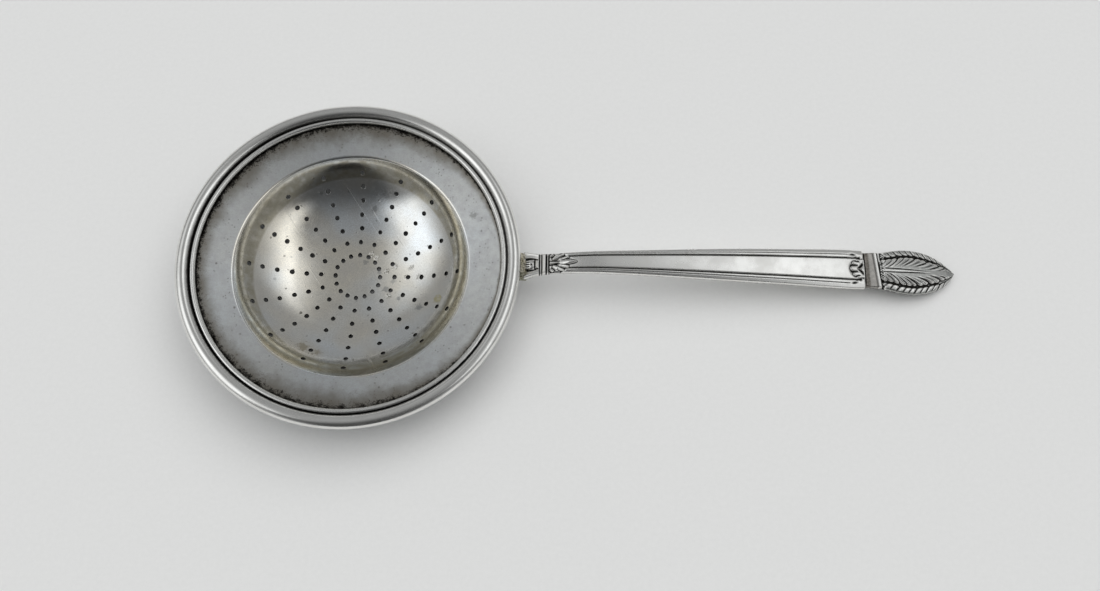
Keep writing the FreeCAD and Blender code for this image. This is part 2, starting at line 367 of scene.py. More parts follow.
# outlines in plan, as x and half width
SHAFT_HALF = ((43.3, 3.75), (44.6, 3.4), (46, 3.05), (47.5, 2.8), (49.7, 2.7), (57.3, 2.86),
              (66.3, 3.13), (75.2, 3.47), (84.3, 3.86), (96.3, 4.35), (111.6, 4.83), (121, 5.14),
              (125, 5.22), (129, 5.1))
FERRULE_HALF = ((128.9, 4.55), (130, 4.6), (132, 4.76), (132.75, 4.76), (133, 4.6),
                (133.2, 4.66))
FINIAL_HALF = ((133.2, 4.76), (135.2, 5.18), (137.6, 5.68), (140.6, 5.97), (143.6, 5.78),
               (147, 4.95), (149.2, 3.85), (150.8, 2.75), (152.1, 1.55), (152.75, 0.75),
               (153, 0))
FINIAL_VEIN = ((133.2, 2.95), (136, 3.35), (138.5, 3.85), (141.3, 4.05), (143.7, 3.8),
               (146, 3.25), (148, 2.75), (149.6, 2.15), (151, 1.45), (152.5, 0.55),
               (153, 0.3))

# ornament
COLLAR_GROOVES = ((45.97, 0.11), (47.2, 0.15), (47.75, 0.13), (48.88, 0.13), (49.55, 0.14))
LEAF_LOBES = (  # base, tip, radius at each
    ((50.0, 1.85), (50.35, 2.0), 0.34, 0.42),
    ((50.75, 1.05), (51.5, 1.4), 0.5, 0.74),
    ((51.7, 1.4), (53.0, 2.0), 0.5, 0.36),
    ((52.3, 0.75), (54.2, 1.25), 0.6, 0.36),
    ((52.5, 0.0), (56.1, 0.0), 1.1, 0.3),
)
FAN_LOBES = (
    ((127.2, 0.0), (125.85, 0.0), 0.85, 0.64),
    ((127.6, 1.3), (126.35, 1.5), 0.62, 0.5),
    ((128.1, 2.1), (127.3, 2.2), 0.42, 0.34),
)
FAN_NOTCHES = ((126.1, 0.86), (126.95, 1.9))
FERRULE_SLANT = 0.08  # the ferrule's ridge isn't quite square to the shaft
VEIN_FORKS = (138.2, 142.8, 146.0, 149.2)
VEIN_NICKS = (134.9, 136.5, 139.8, 141.3, 144.4, 147.6, 150.6)

# mesh: from x, to x, step between stations
STATION_STEPS = ((43.3, 49.6, 0.11), (49.6, 56.8, 0.08), (56.8, 58.0, 0.12), (58.0, 123.0, 1.0),
                 (123.0, 133.6, 0.1), (133.6, 152.7, 0.115), (152.7, 152.98, 0.07))
LAST_STATION_X = 152.985
UPPER_COLUMNS = 121
UNDER_COLUMNS = 31
EDGE_ROUNDING = (0.6, 0.34, 0.4, 0.55)  # root, shaft, ferrule, finial
BELLY = ((43.3, 1.5), (45.5, 1.45), (48.0, 1.25), (51.0, 1.1), (90.0, 1.1),
         (128.9, 1.1), (140.0, 1.05), (149.0, 0.8), (153.0, 0.35))  # x and depth


def centre_height(x):
    """Height of the handle's centreline."""
    start_slope = math.radians(CENTRE_RUNS[0][1])
    z = CENTRE_START_Z + (np.minimum(x, NECK_START_X) - ROOT_X) * math.tan(start_slope)
    start = NECK_START_X
    for radius, first, last in CENTRE_RUNS:
        sin_0, cos_0 = math.sin(math.radians(first)), math.cos(math.radians(first))
        run = radius * (sin_0 - math.sin(math.radians(last)))
        d = np.clip(x - start, 0, run)
        z = z + radius * (np.sqrt(1 - (sin_0 - d / radius) ** 2) - cos_0)
        start += run
    return z


def curve(x, table):
    """A smooth curve through a short table of x and value."""
    xs, ys = np.array(table).T
    slopes = np.gradient(ys, xs)
    i = np.clip(np.searchsorted(xs, x) - 1, 0, len(xs) - 2)
    h = xs[i + 1] - xs[i]
    t = np.clip((x - xs[i]) / h, 0, 1)
    return (ys[i] * (1 + 2 * t) * (1 - t) ** 2 + slopes[i] * h * t * (1 - t) ** 2
            + ys[i + 1] * t * t * (3 - 2 * t) - slopes[i + 1] * h * t * t * (1 - t))


def half_width(x):
    """Half width of the handle in plan."""
    corner = 0.4
    shaft = curve(x, SHAFT_HALF)
    inset = np.clip(x - (SHAFT_END_X - corner), 0, corner)
    shaft = shaft - (corner - np.sqrt(corner ** 2 - inset ** 2))
    finial = np.sqrt(np.maximum(curve(x, [(a, b * b) for a, b in FINIAL_HALF]), 0))
    ferrule = np.interp(x, *np.array(FERRULE_HALF).T)
    return np.where(x < SHAFT_END_X, shaft, np.where(x < FINIAL_X, ferrule, finial))


def lobe(x, y, base, tip, base_r, tip_r, height):
    """A rounded leaf lobe, widening from base to tip."""
    dx, dy = tip[0] - base[0], tip[1] - base[1]
    t = np.clip(((x - base[0]) * dx + (y - base[1]) * dy) / (dx * dx + dy * dy), 0, 1)
    away = np.hypot(x - base[0] - t * dx, y - base[1] - t * dy)
    return height * np.sqrt(np.clip(1 - (away / (base_r + (tip_r - base_r) * t)) ** 2, 0, 1))


def root_relief(x, y):
    """The capital: a fluted dome between flared flanks, a reed, and the collar's rings."""
    a = np.abs(y)
    flank = 1.72 + 0.12 * (x - 44.0) - 0.115 * np.clip(x - 44.0, 0, 9) ** 2
    rim = curve(x, SHAFT_HALF) - 0.45
    flare = smooth(0, 1, (a - flank + 0.05) / (rim - flank)) ** 0.8
    top = 0.84 + 0.44 * flare * smooth(47.15, 46.95, x)
    away = (np.abs((x - 44.25) / 1.66) ** 2.6 + np.abs(y / 1.3) ** 2.6) ** (1 / 2.6)
    top = top + 0.5 * np.sqrt(np.clip(1 - away ** 2, 0, 1))
    flute = np.abs((y / 0.6 + 0.5) % 1 - 0.5) * 0.6
    top = top - 0.34 * bell(flute, 0.13) * smooth(44.85, 44.35, x) * (a < 1.3)
    top = top - 0.45 * bell(np.hypot(x - 45.15, y + 0.05), 0.17)
    inner = np.where(x < 45.9, 1.28, 1.02)
    moat = smooth(inner - 0.05, inner + 0.15, a) * smooth(0.12, -0.08, a - flank)
    top = top - 0.42 * moat * smooth(43.5, 43.9, x) * smooth(47.1, 46.9, x)
    top = top + 0.36 * bell(x - 46.44, 0.27) * smooth(1.12, 0.9, a)
    for place, width in COLLAR_GROOVES:
        top = top - 0.4 * bell(x - place, width) * (1 if place > 47 else smooth(1.3, 1.0, a))
    top = top + 0.2 * bell(x - 47.47, 0.16)
    top = top + 0.44 * smooth(47.82, 47.95, x) * smooth(48.74, 48.6, x)
    return top + (0.26 + 0.08 * np.cos(y * 2 * np.pi / 0.62)) * bell(x - 49.2, 0.17)


def shaft_relief(x, y, half):
    """Crowned panel, deep groove, fine reed, shallow groove and rolled edge, on each side."""
    a = np.abs(y)
    deep, shallow = 0.545 * half, 0.735 * half
    open_deep = smooth(53.4, 55.2, x) * smooth(128.25, 127.7, x)
    open_shallow = smooth(54.5, 57.5, x) * smooth(125.6, 124.6, x)
    drop_end = bell(x - 127.75, 0.4)
    narrow = smooth(60, 100, x)
    top = 1.07 + 0.07 * np.clip(1 - (a / deep) ** 2, 0, 1)
    deep_width = 0.145 + 0.025 * narrow + 0.14 * drop_end
    top = top - (0.36 + 0.05 * drop_end) * bell(a - deep, deep_width) * open_deep
    top = top - 0.11 * bell(a - shallow, 0.12 + 0.02 * narrow) * open_shallow
    return top - 0.34 * np.clip((a - shallow) / (half - shallow), 0, 1)


def leaf_relief(x, y):
    """Lobed leaf that lies along the start of the shaft, tip outwards."""
    a = np.abs(y)
    rise = np.zeros_like(x)
    for base, tip, base_r, tip_r in LEAF_LOBES:
        rise = np.maximum(rise, lobe(x, a, base, tip, base_r, tip_r, 1.0) ** 1.5 * 0.46)
    rise = np.maximum(rise, lobe(x, a, (49.8, 0.0), (52.6, 0.0), 0.38, 0.14, 0.44))
    rise = rise - 0.3 * bell(a - 0.55 + 0.1 * (x - 49.8), 0.13) * smooth(52.6, 51.8, x)
    reach = 2.5 - 0.6 * np.clip(x - 52.4, 0, 9)
    sunk = smooth(0.45, -0.1, a - reach) * smooth(49.5, 49.8, x)
    return rise - (0.32 - 0.28 * smooth(52.6, 54.6, x)) * sunk


def palmette_relief(x, y):
    """Fan of rounded lobes that ends the panel, with a small trumpet-shaped stem."""
    a = np.abs(y)
    fan = np.zeros_like(x)
    for base, tip, base_r, tip_r in FAN_LOBES:
        fan = np.maximum(fan, lobe(x, a, base, tip, base_r, tip_r, 1.0) ** 0.7 * 0.36)
    fan = np.maximum(fan, 0.3 * smooth(126.6, 127.4, x) * smooth(2.65, 2.3, a))
    for notch_x, notch_y in FAN_NOTCHES:
        across = (a - notch_y + 0.1 * (x - notch_x)) / 0.14
        fan = fan - 0.28 * bell(np.hypot((x - notch_x) / 0.5, across), 1.0)
    bed = smooth(0.35, -0.25, np.hypot((x - 128.0) / 1.1, a) - 2.7)
    bed = bed * (a < 2.6) * smooth(128.8, 128.0, x)
    stem = 0.12 + 0.5 * np.clip(x - 126.95, 0, 3) ** 1.7
    crescent = bell(a - stem, 0.16 + 0.3 * np.clip(x - 127.2, 0, 1)) * smooth(126.8, 127.5, x)
    crescent = crescent * smooth(128.75, 128.4, x)
    curl = 0.3 * bell(np.hypot((x - 126.1) / 0.7, (a - 3.75 + 0.12 * (x - 126.1)) / 0.28), 1.0)
    curl = curl + 0.2 * bell(np.hypot((x - 126.75) / 0.35, (a - 3.05) / 0.2), 1.0)
    return fan - 0.16 * bed - 0.6 * crescent - curl


def ferrule_relief(x, y):
    """Waisted band with a raised ridge at its outer end."""
    slanted = x + FERRULE_SLANT * y
    top = 0.8 + 0.04 * (slanted - 130.4) ** 2 - 0.12 * bell(x - 129.0, 0.3)
    top = top + 0.12 * smooth(131.6, 132.2, slanted)
    return top - 0.45 * smooth(132.6, 132.95, slanted)


def finial_relief(x, y, half):
    """A crowned leaf: midrib, lobes swept out to a vein on each side, and lobes beyond the vein."""
    a = np.abs(y)
    vein = curve(x, FINIAL_VEIN)
    crown = 1.42 - 0.8 * (a / np.maximum(half, 0.1)) ** 2.4
    inside, outside = np.clip(vein - a, 0, 9), np.clip(a - vein, 0, 9)
    swept = x + 0.25 * inside + 0.42 * inside ** 2
    beyond = x + 0.75 * outside
    end = smooth(152.3, 150.6, x)

    def gaps(phase, places, width):
        return np.clip(sum(bell(phase - place, width) for place in places), 0, 1)

    scallop = 0.3 * gaps(swept, VEIN_FORKS, 0.5) + 0.16 * gaps(swept, VEIN_NICKS, 0.4)
    near_rib = smooth(2.9, 1.5, inside) * smooth(0.5, 1.1, a)
    blade = 1 - gaps(swept, VEIN_FORKS, 0.2) * near_rib
    blade = blade - 0.5 * gaps(swept, VEIN_NICKS, 0.13) * near_rib
    blade = blade - 0.16 * np.cos(swept * 2 * np.pi / 0.8) * near_rib
    blade = 0.38 * blade * np.sqrt(np.clip((inside - 0.2 - scallop) / 0.35, 0, 1))
    far = smooth(2.0, 0.9, outside)
    side = 1 - gaps(beyond, VEIN_FORKS, 0.22) * far - 0.6 * gaps(beyond, VEIN_NICKS, 0.17) * far
    side_scallop = 0.2 * gaps(beyond, VEIN_FORKS, 0.5) + 0.12 * gaps(beyond, VEIN_NICKS, 0.4)
    side = 0.34 * side * np.sqrt(np.clip((outside - 0.2 - side_scallop) / 0.3, 0, 1))
    leaf = np.where(a < vein, blade, side)
    rib_half = 0.42 - 0.26 * smooth(134, 147, x)
    rib = 0.44 * np.sqrt(np.clip(1 - (a / rib_half) ** 2, 0, 1)) * smooth(150.5, 145.5, x)
    beside = 0.1 * bell(a - rib_half - 0.1, 0.12) * smooth(148, 142, x)
    leaf = np.maximum(leaf, rib * (a < rib_half)) - beside
    leaf = leaf * end + (0.3 - 0.3 * bell(a - vein, 0.2) * smooth(152.9, 152.0, x)) * (1 - end)
    rough = 0.07 * np.sin(y * 9.5) * np.sin(x * 8.0) * smooth(134.6, 134.0, x)
    return crown - 0.36 + leaf - 0.45 * smooth(134.3, 133.4, x) + rough


def blur(values, rows, columns):
    """Mean over a small window, by summed sweeps along each axis."""
    for axis, reach in ((0, rows), (1, columns)):
        pad = [(reach, reach) if k == axis else (0, 0) for k in (0, 1)]
        padded = np.pad(values, pad, mode="edge")
        n, window = values.shape[axis], 2 * reach + 1
        values = sum(np.take(padded, range(k, k + n), axis) for k in range(window)) / window
    return values


def handle_mesh():
    """Points, faces and recess of the handle.

    recess is 1 where the relief lies below its surroundings and -1 where it stands above them."""
    stations = np.concatenate([np.arange(a, b - s / 3, s) for a, b, s in STATION_STEPS]
                              + [[LAST_STATION_X]])
    t = np.linspace(-1, 1, UPPER_COLUMNS)
    v = 0.8 * t + 0.2 * np.sin(t * math.pi / 2)
    x = np.repeat(stations[:, None], len(v), 1)
    half = half_width(stations)[:, None]
    y = v[None, :] * half
    parts = [x < COLLAR_END_X, x < SHAFT_END_X, x < FINIAL_X]
    shaft = shaft_relief(x, y, half) + leaf_relief(x, y) * (x < 60)
    shaft = shaft + palmette_relief(x, y) * (x > 120)
    relief = np.select(parts, [root_relief(x, y), shaft, ferrule_relief(x, y)],
                       finial_relief(x, y, half))
    cavity = blur(blur(relief, 3, 4), 2, 3) - relief
    recess = smooth(0.0, 0.085, cavity) - smooth(0.0, 0.09, -cavity)
    rounding = np.select(parts, EDGE_ROUNDING[:3], EDGE_ROUNDING[3])
    edge = np.clip((half - np.abs(y)) / rounding, 0, 1)
    ends = np.clip((SHAFT_END_X - x) / 0.35, 0, 1)
    ends = np.where(x < SHAFT_END_X, 0.78 + 0.22 * np.sqrt(1 - (1 - ends) ** 2), 1)
    top = relief * np.sqrt(1 - (1 - edge) ** 2) * ends
    under_v = np.linspace(1, -1, UNDER_COLUMNS)[1:-1]
    under = -curve(stations, BELLY)[:, None] * (1 - np.abs(under_v[None, :]) ** 3) ** 0.6
    order = slice(None, None, -1)
    ring_y = np.concatenate([y[:, order], -(under_v[None, :]) * half], 1)
    ring_z = np.concatenate([top[:, order], under], 1) + centre_height(stations)[:, None]
    ring_x = np.repeat(stations[:, None], ring_y.shape[1], 1)
    ring_recess = np.concatenate([recess[:, order], np.zeros_like(under)], 1)
    points = np.stack([ring_x, ring_y, ring_z], -1).reshape(-1, 3)
    size, count = ring_y.shape[1], len(stations)
    i = np.arange(count - 1)[:, None] * size
    j = np.arange(size)[None, :]
    k = (j + 1) % size
    faces = np.stack([i + j, i + k, i + size + k, i + size + j], -1).reshape(-1, 4).tolist()
    tip_point = [TIP_X, 0, centre_height(np.array(TIP_X)) + 0.05]
    points = np.concatenate([points, [points[:size].mean(0), tip_point]])
    start, tip = count * size, count * size + 1
    last = (count - 1) * size
    for c in range(size):
        d = (c + 1) % size
        faces.append((start, d, c))
        faces.append((tip, last + c, last + d))
    return points, faces, np.concatenate([ring_recess.reshape(-1), [0, 0]])


# ------------------------ the solder at the root

SOLDER_HALF_WIDTH = 3.58
SOLDER_INNER_R = 42.3


def solder_mesh():
    """A rough fillet, heaped up from the handle's root against the rim's side."""
    shares = np.linspace(-1, 1, 71)
    around = np.arange(36) * 2 * math.pi / 36
    cos_a, sin_a = np.cos(around), np.sin(around)
    points = []
    for share in shares:
        y = -0.2 + SOLDER_HALF_WIDTH * share
        taper = math.sqrt(max(1 - abs(share) ** 4, 0.0)) * 0.97 + 0.03
        rim_x = math.sqrt(SOLDER_INNER_R ** 2 - y * y)
        out_x = 43.85 + 0.2 * math.sin(y * 2.6 + 0.4)
        out_x += 0.16 * math.sin(y * 7.3) + 0.09 * math.sin(y * 17)
        out_x += 0.25 * smooth(-1.6, -2.8, y) - 0.3 * smooth(2.2, 3.3, y)
        low, high = -2.6, -0.1 + 0.12 * math.sin(y * 2.3 + 1.0)
        px = (rim_x + out_x) / 2 + (out_x - rim_x) / 2 * np.sign(cos_a) * np.abs(cos_a) ** 0.6
        pz = (high + low) / 2 + (high - low) / 2 * taper * np.sign(sin_a) * np.abs(sin_a) ** 0.6
        slope = np.clip((out_x - px) / (out_x - rim_x), 0, 1)
        pz = pz + np.where(sin_a > 0, 1.35 * slope ** 1.3, 0.6 * slope) * taper
        lumps = 0.1 * np.sin(px * 8 + y * 5.1) + 0.08 * np.sin(px * 17 - y * 11.3)
        lumps = lumps + rng.normal(0, 0.015, len(px))
        pz = pz + lumps * (abs(share) < 0.98)
        points.append(np.stack([px, np.full_like(px, y), pz], -1))
    size = len(around)
    faces = []
    for r in range(len(shares) - 1):
        for c in range(size):
            d = (c + 1) % size
            faces.append(((r + 1) * size + c, (r + 1) * size + d, r * size + d, r * size + c))
    faces.append(tuple(range(size)))
    faces.append(tuple((len(shares) - 1) * size + c for c in range(size))[::-1])
    return np.concatenate(points), faces


# ------------------------ materials

class Tint:
    """Linear colours of silver, tarnish, dirt, painted shade and the floor."""

    SILVER = (0.86, 0.855, 0.83, 1)
    COOL_SILVER = (0.81, 0.855, 0.885, 1)
    WARM_SILVER = (0.90, 0.85, 0.735, 1)
    DULL_SHEET = (0.70, 0.685, 0.65, 1)
    DULL_WIRE = (0.70, 0.69, 0.66, 1)
    DULL_HANDLE = (0.74, 0.72, 0.68, 1)
    GRAIN = (0.58, 0.57, 0.545, 1)
    FLANGE = (0.68, 0.715, 0.725, 1)
    FLANGE_PATCH = (0.50, 0.485, 0.505, 1)
    SHOULDER = (0.60, 0.56, 0.48, 1)
    WALL = (0.43, 0.40, 0.31, 1)
    BLACK = (0.012, 0.011, 0.009, 1)
    HAZE = (0.22, 0.195, 0.155, 1)
    SPOT = (0.36, 0.37, 0.36, 1)
    SPECK = (0.2, 0.19, 0.17, 1)
    GRIT = (0.2, 0.19, 0.16, 1)
    CRUMB = (0.95, 0.94, 0.9, 1)
    GREY_STAIN = (0.33, 0.34, 0.34, 1)
    DARK_STAIN = (0.27, 0.27, 0.26, 1)
    BROWN_STAIN = (0.37, 0.32, 0.21, 1)
    BLACK_STAIN = (0.13, 0.12, 0.1, 1)
    YELLOW_STAIN = (0.62, 0.57, 0.33, 1)
    YELLOW_HEART = (0.85, 0.82, 0.7, 1)
    ORNAMENT = (0.36, 0.365, 0.35, 1)
    # tarnish and painted shade on the ferrule
    FERRULE_DARK_TARNISH_AND_SHADE = (0.085, 0.075, 0.062, 1)
    FERRULE_PALE_TARNISH_AND_SHADE = (0.2, 0.18, 0.16, 1)
    SOLDER_DARK = (0.42, 0.37, 0.22, 1)
    SOLDER_PALE = (0.88, 0.84, 0.72, 1)
    SOLDER_END = (0.19, 0.20, 0.15, 1)
    SOLDER_PORE = (0.08, 0.07, 0.04, 1)
    FLOOR_GREY = (0.80, 0.80, 0.79, 1)
    FLOOR_PALE = (0.86, 0.86, 0.85, 1)
    # painted shadow on the floor beneath the bowl
    FLOOR_PAINTED_SHADOW = (0.14, 0.14, 0.14, 1)
    DAYLIGHT = (0.985, 1.0, 1.01, 1)


TARNISH_ROUGHNESS = 0.3  # what black tarnish adds to the silver's roughness


class Paint:
    """The nodes of a material or a world. Each method returns an output socket."""

    def __init__(self, owner, shader="Principled BSDF", place="Object"):
        self.owner = owner
        owner.use_nodes = True
        self.nodes = owner.node_tree.nodes
        self.links = owner.node_tree.links
        self.shader = self.nodes[shader]
        self.place = self.nodes.new("ShaderNodeTexCoord").outputs[place]

    def feed(self, socket, value):
        if isinstance(value, bpy.types.NodeSocket):
            self.links.new(value, socket)
        else:
            socket.default_value = value

    def math(self, operation, a, b=0.5, clamp=False):
        node = self.nodes.new("ShaderNodeMath")
        node.operation = operation
        node.use_clamp = clamp
        self.feed(node.inputs[0], a)
        self.feed(node.inputs[1], b)
        return node.outputs[0]

    def times(self, total, *values):
        for value in values:
            total = self.math("MULTIPLY", total, value)
        return total

    def plus(self, total, *values):
        for value in values:
            total = self.math("ADD", total, value)
        return total

    def minus(self, a, b):
        return self.math("SUBTRACT", a, b)

    def over(self, a, b):
        return self.math("DIVIDE", a, b)

    def most(self, total, *values):
        for value in values:
            total = self.math("MAXIMUM", total, value)
        return total

    def spread(self, noise, size):
        """A noise centred on 0, as wide as the size."""
        return self.times(self.minus(noise, 0.5), size)

    def step(self, value, low, high, to_low=0.0, to_high=1.0):
        """A soft step. low and high may be sockets, and low may be above high."""
        node = self.nodes.new("ShaderNodeMapRange")
        node.interpolation_type = "SMOOTHSTEP"
        self.feed(node.inputs["Value"], value)
        self.feed(node.inputs["From Min"], low)
        self.feed(node.inputs["From Max"], high)
        self.feed(node.inputs["To Min"], to_low)
        self.feed(node.inputs["To Max"], to_high)
        return node.outputs[0]

    def mix(self, share, a, b):
        node = self.nodes.new("ShaderNodeMix")
        node.data_type = "RGBA"
        self.feed(node.inputs[0], share)
        self.feed(node.inputs[6], a)
        self.feed(node.inputs[7], b)
        return node.outputs[2]

    def coats(self, colour, *coats):
        """A colour under coats of others, each given as its share and colour."""
        for share, tint in coats:
            colour = self.mix(share, colour, tint)
        return colour

    def vector(self, operation, a, b=(0, 0, 0)):
        node = self.nodes.new("ShaderNodeVectorMath")
        node.operation = operation
        self.links.new(a, node.inputs[0])
        node.inputs[1].default_value = b
        return node

    def scaled(self, scale, turn=0.0):
        """Coordinates turned about Z, then stretched."""
        node = self.nodes.new("ShaderNodeMapping")
        node.vector_type = "TEXTURE"
        self.links.new(self.place, node.inputs["Vector"])
        node.inputs["Scale"].default_value = [1 / value for value in scale]
        node.inputs["Rotation"].default_value = (0, 0, turn)
        return node.outputs[0]

    def noise(self, scale, detail=3.0, roughness=0.5, vector=None):
        node = self.nodes.new("ShaderNodeTexNoise")
        self.links.new(vector or self.place, node.inputs["Vector"])
        node.inputs["Scale"].default_value = scale
        node.inputs["Detail"].default_value = detail
        node.inputs["Roughness"].default_value = roughness
        return node.outputs[0]

    def dots(self, scale, size, keep):
        """Scattered round spots: 1 in a spot. keep is the share of cells that have one."""
        node = self.nodes.new("ShaderNodeTexVoronoi")
        self.links.new(self.place, node.inputs["Vector"])
        node.inputs["Scale"].default_value = scale
        parts = self.nodes.new("ShaderNodeSeparateColor")
        self.links.new(node.outputs["Color"], parts.inputs[0])
        near = self.step(node.outputs["Distance"], size, size * 0.6)
        return self.times(near, self.math("LESS_THAN", parts.outputs[0], keep))

    def spot(self, x, y, radius, ragged):
        """1 near a place in the plane, in millimetres, with an edge as uneven as the noise."""
        flat = self.vector("MULTIPLY", self.place, (1, 1, 0)).outputs[0]
        away = self.vector("DISTANCE", flat, (x * MM, y * MM, 0)).outputs["Value"]
        uneven = self.plus(away, self.spread(ragged, 2.4 * radius * MM))
        return self.step(uneven, radius * MM, radius * MM * 0.45)

    def radius(self):
        """Distance from the bowl's axis in millimetres."""
        flat = self.vector("MULTIPLY", self.place, (1 / MM, 1 / MM, 0)).outputs[0]
        return self.vector("LENGTH", flat).outputs["Value"]

    def part(self, axis, scale=1 / MM):
        """One coordinate, in millimetres unless the scale is given."""
        node = self.nodes.new("ShaderNodeSeparateXYZ")
        self.links.new(self.place, node.inputs[0])
        return self.times(node.outputs[axis], scale)

    def facing(self, radius, degrees):
        """Cosine of the angle round the bowl's axis away from a direction."""
        angle = math.radians(degrees)
        along = self.times(self.part(0), math.cos(angle))
        across = self.times(self.part(1), math.sin(angle))
        return self.over(self.plus(along, across), radius)

    def attribute(self, name):
        node = self.nodes.new("ShaderNodeAttribute")
        node.attribute_name = name
        return node.outputs["Fac"]

    def bump(self, height, distance, normal=None):
        """distance in millimetres for a height of 1."""
        node = self.nodes.new("ShaderNodeBump")
        node.inputs["Strength"].default_value = 1.0
        node.inputs["Distance"].default_value = distance * MM
        self.links.new(height, node.inputs["Height"])
        if normal is not None:
            self.links.new(normal, node.inputs["Normal"])
        return node.outputs[0]

    def scratches(self):
        """Fine wiping marks in three directions, as a height from 0 to 1."""
        lines = [self.noise(1.0, 2.0, 0.6, self.scaled((long, fine, 300), turn))
                 for turn, long, fine in ((0.5, 60, 3400), (2.1, 90, 4200), (-0.7, 50, 2600))]
        return self.times(self.plus(*lines), 1 / len(lines))

    def finish(self, colour, satin, black, normal, marks=None):
        """Silver with black tarnish on it. marks adds to the roughness of both."""
        rough = satin
        if black is not None:
            rough = self.math("ADD", satin, self.times(black, TARNISH_ROUGHNESS), clamp=True)
        if marks is not None:
            rough = self.plus(rough, marks)
        self.shader.inputs["Metallic"].default_value = 1.0
        self.feed(self.shader.inputs["Base Color"], colour)
        self.feed(self.shader.inputs["Roughness"], rough)
        self.links.new(normal, self.shader.inputs["Normal"])
        return self.owner


# x, y and radius in millimetres, share, colour
STAINS = (
    (7.4, -3.5, 1.1, 0.6, Tint.GREY_STAIN),
    (9.2, -1.5, 0.9, 0.5, Tint.GREY_STAIN),
    (16.6, -8.9, 1.15, 0.7, Tint.GREY_STAIN),
    (11.0, -6.2, 0.7, 0.7, Tint.GREY_STAIN),
    (1.6, 4.0, 0.9, 0.5, Tint.GREY_STAIN),
    (3.6, 18.2, 1.1, 0.6, Tint.GREY_STAIN),
    (5.5, 1.4, 0.7, 0.5, Tint.GREY_STAIN),
    (30.2, 13.1, 1.25, 0.6, Tint.DARK_STAIN),
    (-11.3, -20.5, 1.5, 0.6, Tint.BROWN_STAIN),
    (-13.4, -10.9, 0.55, 0.8, Tint.BLACK_STAIN),
    (-7.8, -21.8, 1.0, 0.5, Tint.BROWN_STAIN),
    (21.5, -7.1, 1.35, 0.85, Tint.YELLOW_STAIN),
    (21.6, -7.2, 0.6, 0.5, Tint.YELLOW_HEART),
)
CRUMBS = ((13.9, 2.2), (12.7, -0.3), (16.2, -0.3), (4.4, 5.3),
          (3.2, 6.1), (7.3, 1.5), (8.4, -5.3), (9.6, 2.9))
CRUMB_RADIUS = 1.0

CRUST_START_R = 37.65  # the black crust spreads inwards from here
CRUST_REACH = 0.75  # its width, to which the next two add
CRUST_ACROSS = 1.35  # on both sides of the handle's line
CRUST_ALONG = -0.55  # towards the handle, so that it is thinnest there


def sheet_tarnish(p, r, broad, patch, coarse, fine):
    """The black crust under the inner wire, breaking up into grains, and the haze beyond it."""
    sine = p.facing(r, 90)
    reach = p.plus(p.times(sine, sine, CRUST_ACROSS), p.times(p.facing(r, 0), CRUST_ALONG),
                   CRUST_REACH)
    depth = p.over(p.minus(CRUST_START_R, r), reach)
    ragged = p.minus(depth, p.plus(p.spread(patch, 1.4), p.spread(coarse, 1.5),
                                   p.spread(fine, 2.2)))
    cloud = p.minus(depth, p.spread(broad, 3.8))
    haze = p.most(p.step(ragged, 2.6, 0.6, 0.0, 0.75), p.step(cloud, 3.3, 0.2, 0.0, 0.85))
    return p.step(ragged, 0.8, 0.0), haze


